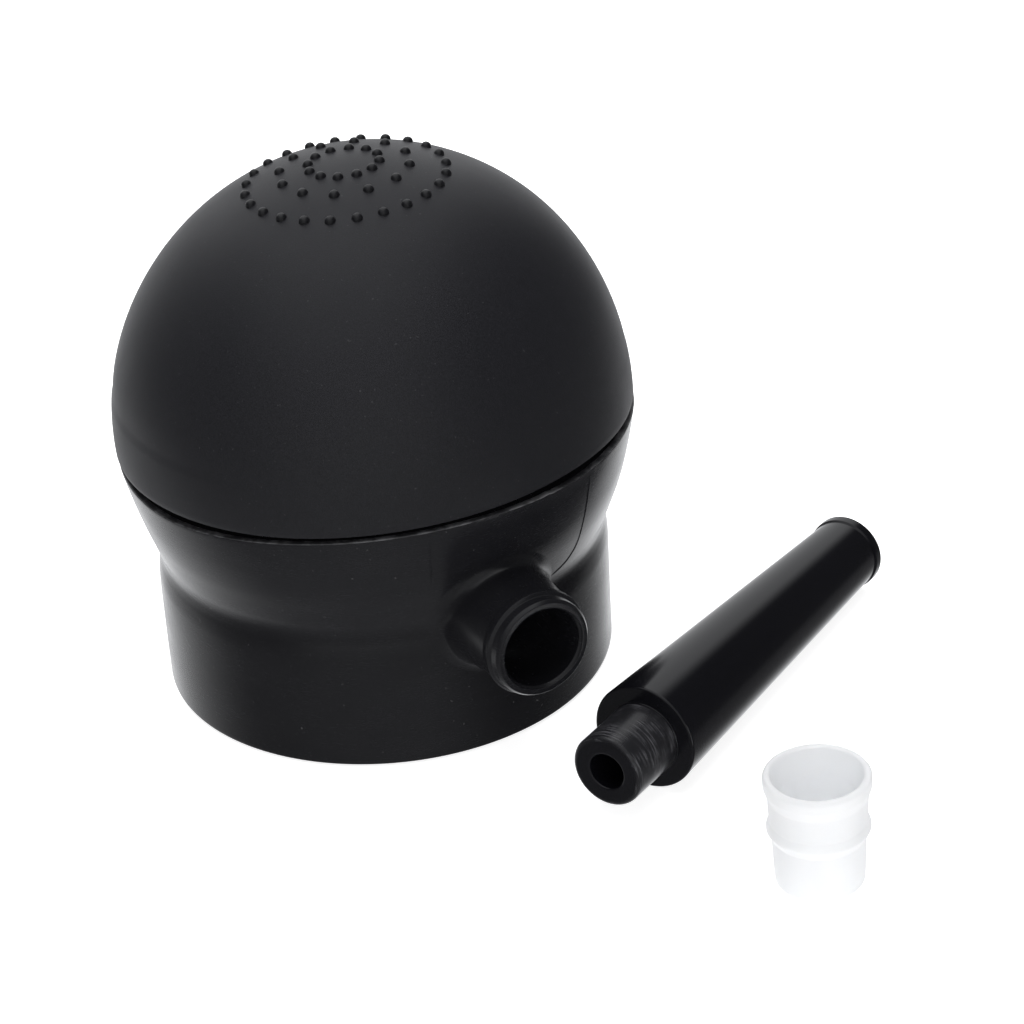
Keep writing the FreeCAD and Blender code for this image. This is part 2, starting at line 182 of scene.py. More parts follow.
def rounded(corners, steps=5):
    """Open polyline whose corners (r, z, radius) are rounded; a corner of two numbers stays sharp."""
    line = []
    for i, corner in enumerate(corners):
        here = Vector(corner[:2])
        radius = corner[2] if len(corner) > 2 else 0
        if not radius or i in (0, len(corners) - 1):
            line.append(tuple(here))
            continue
        back = (Vector(corners[i - 1][:2]) - here).normalized()
        ahead = (Vector(corners[i + 1][:2]) - here).normalized()
        half = back.angle(ahead) / 2
        reach = radius / math.tan(half)
        centre = here + (back + ahead).normalized() * (radius / math.sin(half))
        first = here + back * reach - centre
        last = here + ahead * reach - centre
        sweep = math.pi - 2 * half
        for k in range(steps + 1):
            t = sweep * k / steps
            spoke = (first * math.sin(sweep - t) + last * math.sin(t)) / math.sin(sweep)
            line.append(tuple(centre + spoke))
    return line


def dome_point(radius, degrees):
    """(r, z) on a ball about the dome's centre, at an elevation."""
    angle = math.radians(degrees)
    return (radius * math.cos(angle), DOME_CENTRE_Z + radius * math.sin(angle))


# ---------------------------------------------------------------- meshes

class Skin:
    """Points and faces of one piece, gathered before they become a mesh."""

    def __init__(self):
        self.points = []
        self.faces = []
        self.looks = []

    def add(self, points, faces, place=None, look=0):
        base = len(self.points)
        self.points += [place @ Vector(p) for p in points] if place else [Vector(p) for p in points]
        self.faces += [[base + i for i in face] for face in faces]
        self.looks += [look] * len(faces)

    def rows(self, rows, place=None, look=0, wrap=False):
        """Quads between rings of equal length; wrap joins the last row to the first."""
        count = len(rows[0])
        pairs = list(zip(range(len(rows)), range(1, len(rows))))
        if wrap:
            pairs.append((len(rows) - 1, 0))
        faces = [
            (a * count + i, a * count + (i + 1) % count, b * count + (i + 1) % count, b * count + i)
            for a, b in pairs for i in range(count)]
        self.add([p for row in rows for p in row], faces, place, look)

    def lathe(self, outline, place=None, look=0, segments=SEGMENTS, wrap=False, shape=None):
        """Surface of revolution about Z. shape moves a point given (r, z, angle)."""
        rows = []
        for r, z in outline:
            row = []
            for i in range(segments):
                angle = math.tau * i / segments
                rr, zz = shape(r, z, angle) if shape else (r, z)
                row.append((max(rr, 1e-4) * math.cos(angle), max(rr, 1e-4) * math.sin(angle), zz))
            rows.append(row)
        self.rows(rows, place, look, wrap)

    def drop(self, gone):
        """Remove the faces whose corners all satisfy gone."""
        kept = [i for i, face in enumerate(self.faces) if not all(gone(self.points[k]) for k in face)]
        self.faces = [self.faces[i] for i in kept]
        self.looks = [self.looks[i] for i in kept]

    def make(self, name, materials, sharp_above=40.0):
        mesh = bpy.data.meshes.new(name)
        mesh.from_pydata([tuple(p * MM) for p in self.points], [], self.faces)
        mesh.polygons.foreach_set("material_index", self.looks)
        mesh.polygons.foreach_set("use_smooth", [True] * len(mesh.polygons))
        for material in materials:
            mesh.materials.append(material)
        made = bpy.data.objects.new(name, mesh)
        bpy.context.scene.collection.objects.link(made)
        tidy_mesh(mesh)
        mesh.set_sharp_from_angle(angle=math.radians(sharp_above))
        return made


def tidy_mesh(mesh):
    """Merge the points on an axis, drop loose ones and turn every face outward."""
    work = bmesh.new()
    work.from_mesh(mesh)
    bmesh.ops.remove_doubles(work, verts=work.verts, dist=0.0008 * MM)
    bmesh.ops.delete(work, geom=[v for v in work.verts if not v.link_faces], context="VERTS")
    bmesh.ops.recalc_face_normals(work, faces=work.faces)
    work.to_mesh(mesh)
    work.free()
    mesh.update()


def axis_place(origin, direction):
    """Matrix that takes +Z at the origin to a direction (a unit vector) from a point."""
    return Matrix.Translation(origin) @ direction.to_track_quat("Z", "Y").to_matrix().to_4x4()


def mount_axis(name):
    mount = MOUNTS[name]
    return Vector(mount["pos_m"]) / MM, Vector(mount["axis"]).normalized()


# ---------------------------------------------------------------- materials

def add_node(tree, kind, inputs=None, **settings):
    made = tree.nodes.new(kind)
    for key, value in settings.items():
        setattr(made, key, value)
    for key, value in (inputs or {}).items():
        if isinstance(value, bpy.types.NodeSocket):
            tree.links.new(value, made.inputs[key])
        else:
            made.inputs[key].default_value = value
    return made


class Look:
    """A Principled material with procedural colour, roughness and bump. Pattern sizes are in millimetres."""

    def __init__(self, name, **constants):
        self.material = bpy.data.materials.new(name)
        self.material.use_nodes = True
        self.tree = self.material.node_tree
        self.shader = self.tree.nodes["Principled BSDF"]
        for key, value in constants.items():
            self.shader.inputs[key.replace("_", " ")].default_value = value
        self.where = self.node("ShaderNodeTexCoord").outputs["Object"]
        self.bumped = None

    def node(self, kind, inputs=None, **settings):
        return add_node(self.tree, kind, inputs, **settings)

    def noise(self, size, detail=2.0, roughness=0.5, stretch=None):
        where = self.where
        if stretch:
            where = self.node("ShaderNodeMapping", {"Vector": where, "Scale": stretch}).outputs[0]
        inputs = {"Vector": where, "Scale": 1 / (size * MM), "Detail": detail, "Roughness": roughness}
        return self.node("ShaderNodeTexNoise", inputs).outputs["Fac"]

    def cells(self, size):
        inputs = {"Vector": self.where, "Scale": 1 / (size * MM)}
        return self.node("ShaderNodeTexVoronoi", inputs).outputs["Distance"]

    def spread(self, value, low, high, to_low=0.0, to_high=1.0):
        inputs = {"Value": value, "From Min": low, "From Max": high, "To Min": to_low, "To Max": to_high}
        return self.node("ShaderNodeMapRange", inputs).outputs[0]

    def math(self, operation, a, b=0.0):
        return self.node("ShaderNodeMath", {0: a, 1: b}, operation=operation).outputs[0]

    def mix(self, factor, a, b):
        made = self.node("ShaderNodeMix", data_type="RGBA")
        for socket, value in ((made.inputs[0], factor), (made.inputs[6], a), (made.inputs[7], b)):
            if isinstance(value, bpy.types.NodeSocket):
                self.tree.links.new(value, socket)
            else:
                socket.default_value = value
        return made.outputs[2]

    def along(self, axis):
        return self.node("ShaderNodeSeparateXYZ", {0: self.where}).outputs[axis]

    def set(self, name, socket):
        self.tree.links.new(socket, self.shader.inputs[name])

    def bump(self, height, depth, strength=1.0):
        """Stack one more bump; depth is the relief in millimetres."""
        inputs = {"Height": height, "Distance": depth * MM, "Strength": strength}
        if self.bumped:
            inputs["Normal"] = self.bumped
        self.bumped = self.node("ShaderNodeBump", inputs).outputs["Normal"]
        self.set("Normal", self.bumped)


def grey(value, blue=1.0):
    return (value, value, value * blue, 1.0)


def dome_silicone():
    look = Look("dome_silicone", Specular_IOR_Level=0.45, Sheen_Weight=0.02, Sheen_Roughness=0.4)
    look.shader.inputs["Sheen Tint"].default_value = (0.9, 0.92, 1.0, 1.0)
    grain = look.noise(0.16, detail=3.0, roughness=0.65)
    haze = look.noise(14.0, detail=3.0)
    dust = look.spread(look.noise(0.42, detail=1.0), 0.73, 0.80)
    tone = look.mix(look.spread(grain, 0.35, 0.7), grey(0.0065, 1.25), grey(0.0125, 1.25))
    tone = look.mix(look.math("MULTIPLY", dust, 0.12), tone, grey(0.16, 1.05))
    look.set("Base Color", tone)
    broad = look.spread(haze, 0.3, 0.7, 0.44, 0.52)
    fine = look.spread(grain, 0.3, 0.7, -0.03, 0.05)
    look.set("Roughness", look.math("ADD", broad, fine))
    look.bump(grain, 0.012)
    look.bump(haze, 0.03, 0.5)
    return look.material


def nub_silicone():
    look = Look("nub_silicone", Specular_IOR_Level=0.5, Coat_Weight=0.05, Coat_Roughness=0.3)
    smear = look.noise(0.8, detail=2.0)
    look.set("Base Color", look.mix(smear, grey(0.005, 1.2), grey(0.009, 1.2)))
    look.set("Roughness", look.spread(smear, 0.3, 0.7, 0.34, 0.44))
    look.bump(look.noise(0.2, detail=2.0), 0.004)
    return look.material


def shell_plastic():
    look = Look("shell_plastic", Specular_IOR_Level=0.5)
    flow = look.noise(9.0, detail=2.0, stretch=(1.0, 1.0, 2.4))
    peel = look.noise(0.7, detail=2.0)
    scratch = look.noise(1.2, detail=3.0, roughness=0.7, stretch=(1.0, 1.0, 14.0))
    lint = look.spread(look.noise(0.5, detail=1.0), 0.76, 0.82)
    tone = look.mix(flow, grey(0.0055, 1.2), grey(0.0085, 1.2))
    look.set("Base Color", look.mix(look.math("MULTIPLY", lint, 0.3), tone, grey(0.14)))
    base = look.spread(flow, 0.3, 0.7, 0.19, 0.25)
    look.set("Roughness", look.math("ADD", base, look.spread(scratch, 0.55, 0.8, 0.0, 0.12)))
    look.bump(peel, 0.0010)
    look.bump(flow, 0.01, 0.3)
    look.bump(scratch, 0.0003)
    return look.material


def rim_painted_highlight():
    """Painted highlight on the rim's edge: a paler, patchy colour that stands in for the thin light line the
    edge catches.
    """
    look = Look("rim_painted_highlight", Specular_IOR_Level=0.6)
    edge_breakup = look.noise(2.6, detail=3.0, roughness=0.7)
    # painted highlight: noisy patches of paler colour along the rim's top edge
    look.set("Base Color", look.mix(look.spread(edge_breakup, 0.45, 0.62), grey(0.018, 1.1), grey(0.085, 1.05)))
    look.set("Roughness", look.spread(edge_breakup, 0.4, 0.7, 0.3, 0.45))
    look.bump(look.noise(0.25, detail=3.0), 0.02)
    return look.material


def nozzle_plastic():
    look = Look("nozzle_plastic", Specular_IOR_Level=0.5)
    flow = look.noise(5.0, detail=2.0, stretch=(1.0, 1.0, 0.25))
    peel = look.noise(0.6, detail=2.0)
    rings = look.noise(0.9, detail=4.0, roughness=0.7, stretch=(0.25, 0.25, 4.5))
    across = look.node("ShaderNodeVectorMath", {0: look.where, 1: (1, 1, 0)}, operation="MULTIPLY").outputs[0]
    reach = look.node("ShaderNodeVectorMath", {0: across}, operation="LENGTH").outputs["Value"]
    outside = look.spread(reach, 4.0 * MM, 4.4 * MM)
    on_stem = look.math("MULTIPLY", look.spread(look.along("Z"), 0.0, -0.3 * MM), outside)
    patches = look.spread(look.noise(3.0, detail=2.0), 0.38, 0.55)
    scuff = look.math("MULTIPLY", look.math("MULTIPLY", look.spread(rings, 0.5, 0.72), on_stem), patches)
    tone = look.mix(flow, grey(0.0022, 1.4), grey(0.0040, 1.4))
    tone = look.mix(look.math("MULTIPLY", on_stem, 0.9), tone, grey(0.012, 1.15))
    look.set("Base Color", look.mix(look.math("MULTIPLY", scuff, 0.8), tone, grey(0.13, 1.08)))
    rubbed = look.math("ADD", look.math("MULTIPLY", on_stem, 0.14), look.math("MULTIPLY", scuff, 0.2))
    look.set("Roughness", look.math("ADD", look.spread(flow, 0.3, 0.7, 0.12, 0.17), rubbed))
    look.bump(peel, 0.0018)
    look.bump(flow, 0.015, 0.35)
    look.bump(look.math("MULTIPLY", rings, on_stem), 0.003, 0.5)
    return look.material


def sleeve_silicone():
    look = Look("sleeve_silicone", IOR=1.41, Subsurface_Weight=0.55, Subsurface_Scale=0.008,
                Transmission_Weight=0.25, Specular_IOR_Level=0.45)
    look.shader.inputs["Subsurface Radius"].default_value = (0.9, 0.95, 1.0)
    cloud = look.noise(3.5, detail=3.0)
    look.set("Base Color", look.mix(cloud, (0.91, 0.925, 0.95, 1.0), (0.95, 0.96, 0.975, 1.0)))
    look.set("Roughness", look.spread(cloud, 0.3, 0.7, 0.28, 0.40))
    look.bump(look.noise(0.5, detail=2.0), 0.006)
    look.bump(look.noise(2.0, detail=1.0, stretch=(1.0, 1.0, 3.0)), 0.03, 0.5)
    return look.material


def inner_plastic():
    look = Look("inner_plastic", Specular_IOR_Level=0.4)
    grain = look.noise(0.25, detail=3.0)
    flow = look.noise(6.0, detail=2.0)
    look.set("Base Color", look.mix(flow, grey(0.13, 1.05), grey(0.18, 1.05)))
    look.set("Roughness", look.spread(grain, 0.3, 0.7, 0.45, 0.6))
    look.bump(grain, 0.01)
    return look.material


def valve_silicone():
    look = Look("valve_silicone", Specular_IOR_Level=0.45, Subsurface_Weight=0.2, Subsurface_Scale=0.001)
    cloud = look.noise(2.0, detail=3.0)
    look.set("Base Color", look.mix(cloud, (0.42, 0.10, 0.06, 1.0), (0.55, 0.17, 0.10, 1.0)))
    look.set("Roughness", look.spread(cloud, 0.3, 0.7, 0.35, 0.5))
    look.bump(look.noise(0.3, detail=2.0), 0.006)
    return look.material


def black_rubber(name, size):
    look = Look(name, Specular_IOR_Level=0.35)
    grain = look.noise(size, detail=3.0, roughness=0.6)
    wear = look.noise(3.0, detail=3.0)
    look.set("Base Color", look.mix(look.spread(wear, 0.35, 0.75), grey(0.02), grey(0.055)))
    look.set("Roughness", look.spread(grain, 0.3, 0.7, 0.6, 0.8))
    look.bump(grain, 0.03)
    return look.material


def screw_steel():
    look = Look("screw_steel", Metallic=1.0)
    brushed = look.noise(0.5, detail=4.0, roughness=0.7, stretch=(1.0, 8.0, 1.0))
    stain = look.noise(1.5, detail=3.0)
    look.set("Base Color", look.mix(stain, grey(0.50), grey(0.68)))
    look.set("Roughness", look.spread(brushed, 0.3, 0.7, 0.22, 0.38))
    look.bump(brushed, 0.006)
    return look.material


def filter_foam():
    look = Look("filter_foam", Specular_IOR_Level=0.2, Sheen_Weight=0.2)
    cells = look.cells(0.7)
    fibre = look.noise(0.3, detail=4.0, roughness=0.7)
    look.set("Base Color", look.mix(look.spread(cells, 0.1, 0.6), grey(0.06), grey(0.22)))
    look.set("Roughness", look.spread(fibre, 0.3, 0.7, 0.8, 0.95))
    look.bump(cells, 0.4)
    look.bump(fibre, 0.05)
    return look.material


def floor_paper():
    look = Look("floor_paper", Specular_IOR_Level=0.0, Emission_Strength=0.80)
    look.shader.inputs["Emission Color"].default_value = (1.0, 1.0, 1.0, 1.0)
    tooth = look.noise(0.6, detail=2.0)
    look.set("Base Color", look.mix(tooth, grey(0.84), grey(0.86)))
    look.set("Roughness", look.spread(tooth, 0.3, 0.7, 0.85, 0.95))
    return look.material


DOME_LOOK = dome_silicone()
NUB_LOOK = nub_silicone()
SHELL_LOOK = shell_plastic()
NOZZLE_LOOK = nozzle_plastic()
# look of the rim's edge, a painted highlight
RIM_HIGHLIGHT_LOOK = rim_painted_highlight()
SLEEVE_LOOK = sleeve_silicone()
CAD_LOOKS = {
    "inner_plastic": inner_plastic(),
    "valve_silicone": valve_silicone(),
    "seal_rubber": black_rubber("seal_rubber", 0.15),
    "foot_rubber": black_rubber("foot_rubber", 0.3),
    "screw_steel": screw_steel(),
    "filter_foam": filter_foam(),
    "shell_plastic": SHELL_LOOK,
}


# ---------------------------------------------------------------- pieces

def base_lean(height):
    """Offset of the base's outside along X: it leans to the left, most of all at the foot."""
    return -0.56 * (1 - smooth(height, 12.0, 28.0)) - 0.22 * (1 - smooth(height, 0.0, 16.0))


def dome_lean(point):
    """The crown leans a little to +X and stands a little taller than a ball."""
    up = smooth(point.z, 40.0, 66.0)
    return Vector((0.55 * up, 0.0, 0.30 * up))


def seam_drop(angle):
    """Height of the seam above its level plane: the dome sits lowest at the back left."""
    return (-1.287 + 0.713 * math.cos(angle) - 0.761 * math.sin(angle)
            - 0.186 * math.cos(2 * angle) - 0.299 * math.sin(2 * angle))


def bump_at(angle, centre, width):
    """1 at an azimuth, falling away on both sides; centre and width are in degrees."""
    return math.exp(-((math.degrees(angle) - centre) / width) ** 2)


def seam_gap(angle):
    """Extra gap between the dome's edge and the rim, widest at the front right and the left."""
    return 0.12 + 0.72 * bump_at(angle, 322, 24) + 0.85 * bump_at(angle, 216, 26)


def rim_drop(angle):
    """Offset of the rim's height: the seam's, and most of the gap."""
    return seam_drop(angle) - 0.65 * seam_gap(angle)


def dome_edge_drop(angle):
    """Offset of the dome's edge: the seam's, and the rest of the gap."""
    return seam_drop(angle) + 0.35 * seam_gap(angle)


def rim_burr(angle):
    """Moulding flash on the rim: a fine ripple with a few torn lumps."""
    lumps = sum(tall * bump_at(angle, at, wide) for at, wide, tall in RIM_LUMPS)
    return lumps + 0.004 * math.sin(47 * angle) + 0.006 * math.sin(113 * angle + 1.0)


def dome():
    """Dome skin with its wall thickness, neck, flange and grip nubs, in one moulding."""
    inner_r = DOME_R - DOME_WALL
    bottom, outer_edge = (DOME_R - 0.35, DOME_CENTRE_Z), (DOME_R - 0.1, DOME_CENTRE_Z + 0.1)
    outside = [dome_point(DOME_R, 0.9 + 89.1 * i / 110) for i in range(111)]
    inside = [dome_point(inner_r, 90 - 88 * i / 44) for i in range(45)]
    below = rounded([
        inside[-1], (29.2, DOME_CENTRE_Z, 0.2), (29.2, FLANGE_TOP, 0.2), (FLANGE_R, FLANGE_TOP, 0.2),
        (FLANGE_R, SHELF_Z, 0.2), (NECK_R, SHELF_Z, 0.2), (NECK_R, DOME_CENTRE_Z, 0.1), bottom], 3)
    skin = Skin()

    def ball_radius(z):
        return math.sqrt(DOME_R ** 2 - (z - DOME_CENTRE_Z) ** 2)

    def shape(r, z, angle):
        if r < NECK_R - 0.05 or z < DOME_CENTRE_Z - 0.05:
            return r, z
        fade = 1 - smooth(z, DOME_CENTRE_Z, DOME_CENTRE_Z + DOME_EDGE_REACH)
        lower = z + dome_edge_drop(angle) * fade
        if r > DOME_R - 0.5:
            r += ball_radius(lower) - ball_radius(z)
        return r, lower

    skin.lathe(below + [outer_edge] + outside, shape=shape)
    skin.lathe(inside)
    for radius, count in NUB_RINGS:
        for i in range(count):
            add_nub(skin, radius, math.radians(NUB_PHASE + 360.0 * i / count))
    skin.points = [point + dome_lean(point) for point in skin.points]
    made = skin.make("squeeze_dome", [DOME_LOOK, NUB_LOOK])
    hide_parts("bulb_crown", "bulb_wall")
    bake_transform(made)


def add_nub(skin, radius, angle):
    """One grip nub: a short round stud with a domed top, square to the dome."""
    height = math.sqrt(DOME_R ** 2 - radius ** 2)
    outward = NUB_LEAN @ Vector((radius * math.cos(angle), radius * math.sin(angle), height)).normalized()
    seat = Vector((0, 0, DOME_CENTRE_Z)) + outward * DOME_R
    root = [(NUB_R + 0.08, -0.06), (NUB_R + 0.02, 0.04)]
    cap = arc((NUB_R, 0.14), (NUB_R * 0.74, 0.44), (0.0, 0.62), 8)
    skin.lathe(root + cap, axis_place(seat, outward), look=1, segments=28)


BOWL_LINE = through(BOWL_OUTSIDE, 10)


def bowl_radius(height, angle=None):
    """Outer radius of the base at a height, leaned if an angle is given."""
    radius = BOWL_LINE[-1][0]
    for (r0, z0), (r1, z1) in zip(BOWL_LINE, BOWL_LINE[1:]):
        if z0 <= height <= z1:
            radius = r0 + (r1 - r0) * (height - z0) / (z1 - z0)
            break
    return radius if angle is None else radius + base_lean(height) * math.cos(angle)


def base_shell():
    """Bowl, skirt, shelf and spout in one glossy moulding."""
    skin = Skin()
    below_shelf = (29.6, SHELF_UNDERSIDE_Z)
    skirt_top = (SKIRT_INNER_R, 7.2)
    rim = rounded([
        BOWL_OUTSIDE[-1], (RIM_R, RIM_Z, 0.16), (31.9, RIM_Z), (RECESS_R, RIM_Z, 0.15),
        (RECESS_R, SHELF_Z, 0.1), (SHELF_INNER_R, SHELF_Z, 0.2), (SHELF_INNER_R, SHELF_UNDERSIDE_Z, 0.2),
        below_shelf], 4)
    inside = through([below_shelf, (28.5, 25.2), (26.9, 20.2), (SKIRT_INNER_R, 17.2), skirt_top], 5)
    foot = rounded([skirt_top, (SKIRT_INNER_R, 0.4, 0.25), (28.6, 0.4, 0.25), (28.61, 0.8)], 4)
    recess_wall = RECESS_R + 0.05

    def shape(r, z, angle):
        weight = smooth(z, SEAM_REACH_Z, BOWL_TOP_Z) if r > recess_wall or z > 34 else 0.0
        lower = z + rim_drop(angle) * weight
        if r > 27.5 and z < 28.0:
            r += base_lean(z) * math.cos(angle)
        if r > recess_wall and z < 34.6:
            r += bowl_radius(lower) - bowl_radius(z)
        elif r > 31.5:
            r += bowl_radius(BOWL_TOP_Z + lower - z) - bowl_radius(BOWL_TOP_Z) + rim_burr(angle) * 0.6
            lower += rim_burr(angle)
        return r, lower

    outline = foot[:-1] + through(BOWL_OUTSIDE, 8) + rim[1:] + inside[1:-1]
    skin.lathe(outline, wrap=True, segments=BASE_SEGMENTS, shape=shape)
    for i, face in enumerate(skin.faces):
        middle = sum((skin.points[k] for k in face), Vector()) / len(face)
        angle = math.atan2(middle.y, middle.x) % math.tau
        edge = RIM_Z + rim_drop(angle) + rim_burr(angle)
        # the faces along the rim's top edge take the painted-highlight look
        if middle.xy.length > 31.6 and middle.z > edge - RIM_FACE_DEPTH:
            skin.looks[i] = 1
    centre, axis = mount_axis("spout_bore")
    place = axis_place(centre - axis * SPOUT_X, axis)
    back = place.inverted()

    def in_bore(point):
        local = back @ point
        return local.z > 10 and math.hypot(local.x, local.y) < 6.3

    skin.drop(in_bore)
    add_spout(skin, place)
    for knots in PARTING_LINES:
        add_parting_line(skin, knots)
    made = skin.make("base_shell_skin", [SHELL_LOOK, RIM_HIGHLIGHT_LOOK])
    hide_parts("base_shell")
    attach(made, "base")


def add_parting_line(skin, knots):
    """Thin raised line on the bowl, pointed at both ends."""
    path = through([(math.radians(azimuth), height) for azimuth, height in knots], 10)
    points = []
    for azimuth, height in path:
        lower = height + rim_drop(azimuth) * smooth(height, SEAM_REACH_Z, BOWL_TOP_Z)
        radius = bowl_radius(lower, azimuth)
        points.append(Vector((radius * math.cos(azimuth), radius * math.sin(azimuth), lower)))
    section = ((-1, -0.03), (-0.5, LINE_HEIGHT * 0.8), (0, LINE_HEIGHT), (0.5, LINE_HEIGHT * 0.8), (1, -0.03),
               (0, -0.08))
    rows = []
    for i, ((azimuth, height), point) in enumerate(zip(path, points)):
        ahead = (points[min(i + 1, len(points) - 1)] - points[max(i - 1, 0)]).normalized()
        slope = (bowl_radius(height + 0.2) - bowl_radius(height - 0.2)) / 0.4
        outward = Vector((math.cos(azimuth), math.sin(azimuth), -slope)).normalized()
        side = ahead.cross(outward).normalized()
        size = min(1.0, 0.02 + min(i, len(points) - 1 - i) / 4)
        rows.append([
            point + (side * across * LINE_HALF_WIDTH + outward * rise) * size for across, rise in section])
    skin.rows(rows)


def spout_outer_radius(along):
    """Radius of the spout's tapered outside, at a distance along its axis."""
    (r0, x0), (r1, x1) = SPOUT_TAPER
    return r0 + (r1 - r0) * (along - x0) / (x1 - x0)


def add_spout(skin, place):
    """Tapered spout with a beaded lip, its bore and inner collar, and its blend into the bowl."""
    outline = rounded([
        (spout_outer_radius(27.0) - 0.4, 27.0), (6.42, 37.15, 0.2), (6.70, 37.35, 0.06), (6.74, 38.3, 0.07),
        (6.50, 38.5, 0.06), (6.36, 38.6, 0.08), (6.30, 39.65, 0.1), (6.02, SPOUT_END, 0.12),
        (5.36, SPOUT_END, 0.08), (5.30, 39.95, 0.06), (SPOUT_BORE_R, 39.7, 0.1),
        (SPOUT_BORE_R, SPOUT_STEP_X, 0.05), (COLLAR_BORE_R, SPOUT_STEP_X, 0.05),
        (COLLAR_BORE_R, COLLAR_START, 0.2), (COLLAR_R, COLLAR_START, 0.3), (COLLAR_R, 26.0)], 4)
    skin.lathe(outline, place)
    azimuth = math.atan2(place.col[2][1], place.col[2][0])
    height = place.translation.z
    turned = Matrix.Rotation(azimuth, 4, "Z")

    def bowl_x(reach, side, up):
        """Distance along the spout to the bowl's skin, at a distance out from the spout's axis."""
        level = height + reach * up
        turn = azimuth + math.asin(reach * side / bowl_radius(level))
        return math.sqrt(bowl_radius(level, turn) ** 2 - (reach * side) ** 2)

    rows = [[] for _ in range(ROOT_ROWS + 1)]
    for i in range(SEGMENTS):
        angle = math.tau * i / SEGMENTS
        side, up = math.sin(angle), math.cos(angle)
        # the tube tapers, so its radius where it meets the bowl is closed in on
        here = SPOUT_TAPER_MIDDLE_R
        for _ in range(6):
            here = spout_outer_radius(bowl_x(here, side, up))
        start_x = bowl_x(here, side, up) + ROOT_BLEND
        end_reach = here + ROOT_BLEND
        start = Vector((spout_outer_radius(start_x), start_x))
        middle = Vector((here, bowl_x(here, side, up)))
        end = Vector((end_reach, bowl_x(end_reach, side, up) - 0.03))
        line = [(spout_outer_radius(SPOUT_TUBE_END), SPOUT_TUBE_END)]
        for k in range(ROOT_ROWS):
            t = k / (ROOT_ROWS - 1)
            line.append(start * (1 - t) ** 2 + middle * (2 * t * (1 - t)) + end * t ** 2)
        for row, (reach, along) in zip(rows, line):
            row.append(turned @ Vector((along, reach * side, height + reach * up)))
    skin.rows(rows)


def nozzle():
    """Tapered nozzle: scuffed stem, square shoulder, long cone and a small collar at the tip."""
    stem, axis = mount_axis("nozzle_stem")
    shoulder = stem - axis * MOUNT_TO_SHOULDER
    collar = BODY_LENGTH - END_COLLAR
    cone_r = TIP_R - 0.22
    outline = rounded([
        (NOZZLE_BORE_R, 2.0), (NOZZLE_BORE_R, -STEM_LENGTH, 0.25), (STEM_R, -STEM_LENGTH, 0.55),
        (STEM_R, 0.0, 0.12),
        (SHOULDER_R, 0.0, 0.32), (cone_r, collar, 0.1), (TIP_R - 0.02, collar + 0.25, 0.12),
        (TIP_R, BODY_LENGTH, 0.32), (NOZZLE_MOUTH_R, BODY_LENGTH, 0.25), (NOZZLE_BORE_R, 2.0)], 6)
    skin = Skin()
    skin.lathe(outline)
    made = skin.make("nozzle_body", [NOZZLE_LOOK])
    made.matrix_world = axis_place(shoulder * MM, -axis)
    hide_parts("nozzle")
    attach(made, "loose_nozzle")


def sleeve():
    """Soft bush: flared top lip, bead ring at mid height and a rounded foot."""
    low, high = (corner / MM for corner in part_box("nozzle_sleeve"))
    outline = rounded([
        (SLEEVE_BORE_R, 5.0), (SLEEVE_BORE_R, 0.0, 0.2), (5.20, 0.0, 0.25), (5.30, 1.2, 0.8),
        (5.5, 6.15, 0.3),
        (6.12, 7.3, 0.5), (5.72, 8.4, 0.35), (5.85, 11.6, 0.6), (6.27, 12.9, 0.6), (6.30, SLEEVE_H, 0.5),
        (5.35, SLEEVE_H, 0.35), (5.15, 13.2, 0.4), (SLEEVE_BORE_R, 11.0, 0.4), (SLEEVE_BORE_R, 5.0)], 6)
    skin = Skin()
    skin.lathe(outline)
    made = skin.make("sleeve_body", [SLEEVE_LOOK])
    made.location = Vector(((low.x + high.x) / 2, (low.y + high.y) / 2, low.z)) * MM
    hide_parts("nozzle_sleeve")
    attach(made, "loose_sleeve")


def dress_cad_nodes():
    """Give each CAD node that still shows the look of its material slot."""
    for entry in frame["record"]["subparts"]:
        look = CAD_LOOKS.get(entry["material_slot"])
        if look:
            mesh = frame["nodes"][entry["node"]].data
            mesh.materials.clear()
            mesh.materials.append(look)


# ---------------------------------------------------------------- stage, light and camera

CAMERA_ELEVATION = 29.98
CAMERA_ROLL = -4.7
CAMERA_LENS = 123.05
CAMERA_DISTANCE = 436.8
# the camera looks at a point beside and below the middle of the seam, measured across and down its view
SEAM_HEIGHT = 35.75
CAMERA_AIM = (17.35, 13.91)
# metres
FLOOR_HALF = 12.0
# the world's floor fades into its walls between these heights of a unit direction
HORIZON = (-0.35, -0.12)


def floor():
    mesh = bpy.data.meshes.new("floor")
    half = FLOOR_HALF
    corners = [(-half, -half, 0), (half, -half, 0), (half, half, 0), (-half, half, 0)]
    mesh.from_pydata(corners, [], [(0, 1, 2, 3)])
    mesh.materials.append(floor_paper())
    made = bpy.data.objects.new("floor", mesh)
    bpy.context.scene.collection.objects.link(made)
    made.visible_glossy = False


def softbox(name, place, aim, width, height, power):
    """Area light that lights the matt part of a surface only; the world makes the reflections."""
    data = bpy.data.lights.new(name, "AREA")
    data.shape = "RECTANGLE"
    data.size, data.size_y = width, height
    data.energy = power
    made = bpy.data.objects.new(name, data)
    made.location = place
    made.rotation_euler = (Vector(aim) - Vector(place)).to_track_quat("-Z", "Y").to_euler()
    made.visible_glossy = False
    bpy.context.scene.collection.objects.link(made)


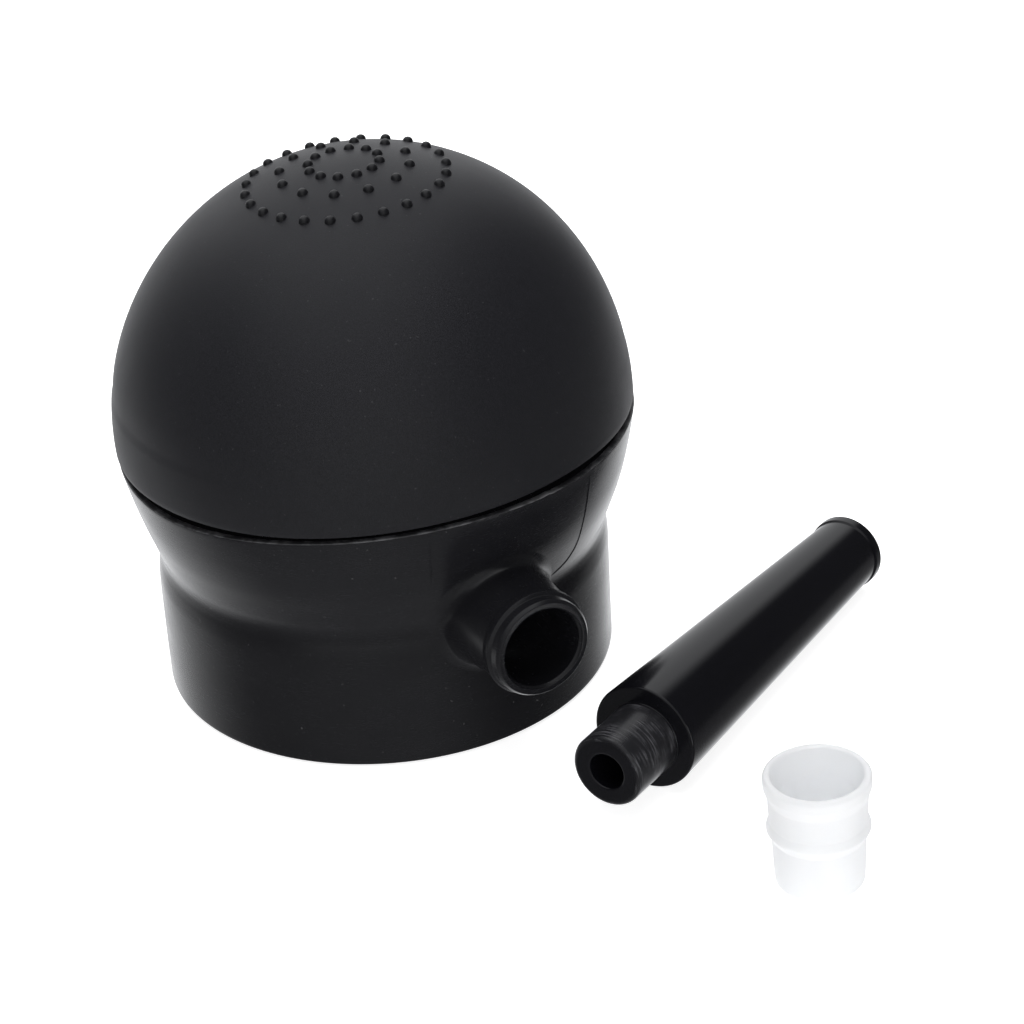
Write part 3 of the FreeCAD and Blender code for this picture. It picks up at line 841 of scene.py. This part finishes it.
def world_light():
    """Light tent: a bright strip from back to front over the top, dim sides and a pale floor all round."""
    world = bpy.data.worlds.new("studio")
    bpy.context.scene.world = world
    world.use_nodes = True
    tree = world.node_tree

    def ramp(axis, low, high, at_low, at_high):
        inputs = {
            "Value": split[axis], "From Min": low, "From Max": high, "To Min": at_low, "To Max": at_high}
        return add_node(tree, "ShaderNodeMapRange", inputs, interpolation_type="SMOOTHSTEP").outputs[0]

    def maths(operation, a, b):
        return add_node(tree, "ShaderNodeMath", {0: a, 1: b}, operation=operation).outputs[0]

    where = add_node(tree, "ShaderNodeTexCoord").outputs["Generated"]
    split = add_node(tree, "ShaderNodeSeparateXYZ", {0: where}).outputs
    strip = maths("MULTIPLY", ramp("X", 0.28, 0.58, 1.0, 0.07), ramp("X", -0.85, -0.45, 0.10, 1.0))
    depth = maths("ADD", ramp("Y", -0.9, 0.0, 0.34, 0.78), ramp("Y", 0.0, 0.6, 0.0, 0.15))
    above = maths("MULTIPLY", strip, depth)
    below = maths("MULTIPLY", ramp("Y", -0.25, 0.75, 0.20, 1.35), ramp("X", 0.25, 0.80, 1.0, 0.22))
    below = maths("MULTIPLY", below, ramp("X", -0.85, -0.30, 0.62, 1.0))
    is_below = ramp("Z", *HORIZON, 1.0, 0.0)
    is_above = ramp("Z", *HORIZON, 0.0, 1.0)
    level = maths("ADD", maths("MULTIPLY", above, is_above), maths("MULTIPLY", below, is_below))
    tree.links.new(level, tree.nodes["Background"].inputs["Strength"])
    tree.nodes["Background"].inputs["Color"].default_value = (0.97, 0.98, 1.0, 1.0)


def lights():
    world_light()
    softbox("front_fill", (0.25, -0.85, 0.35), (0.02, 0, 0.03), 0.9, 0.6, 3.0)
    softbox("top_fill", (0.0, 0.1, 0.9), (0, 0, 0.04), 0.8, 0.8, 6.5)


def camera():
    """Long lens, 30 degrees above the horizon and rolled a little."""
    elevation, roll = math.radians(CAMERA_ELEVATION), math.radians(CAMERA_ROLL)
    back = Vector((0, -math.cos(elevation), math.sin(elevation)))
    level_up = Vector((0, math.sin(elevation), math.cos(elevation)))
    right = Vector((math.cos(roll), 0, 0)) + level_up * math.sin(roll)
    up = level_up * math.cos(roll) - Vector((math.sin(roll), 0, 0))
    across, down = CAMERA_AIM
    aim = Vector((0, 0, SEAM_HEIGHT)) + right * across - up * down
    data = bpy.data.cameras.new("camera")
    data.sensor_width = 36.0
    data.lens = CAMERA_LENS
    data.clip_start = 0.01
    made = bpy.data.objects.new("camera", data)
    axes = Matrix((right, up, back)).transposed().to_4x4()
    made.matrix_world = Matrix.Translation((aim + back * CAMERA_DISTANCE) * MM) @ axes
    bpy.context.scene.collection.objects.link(made)
    bpy.context.scene.camera = made
    bpy.context.scene.view_settings.view_transform = "Standard"


camera()
dome()
base_shell()
nozzle()
sleeve()
dress_cad_nodes()
floor()
lights()
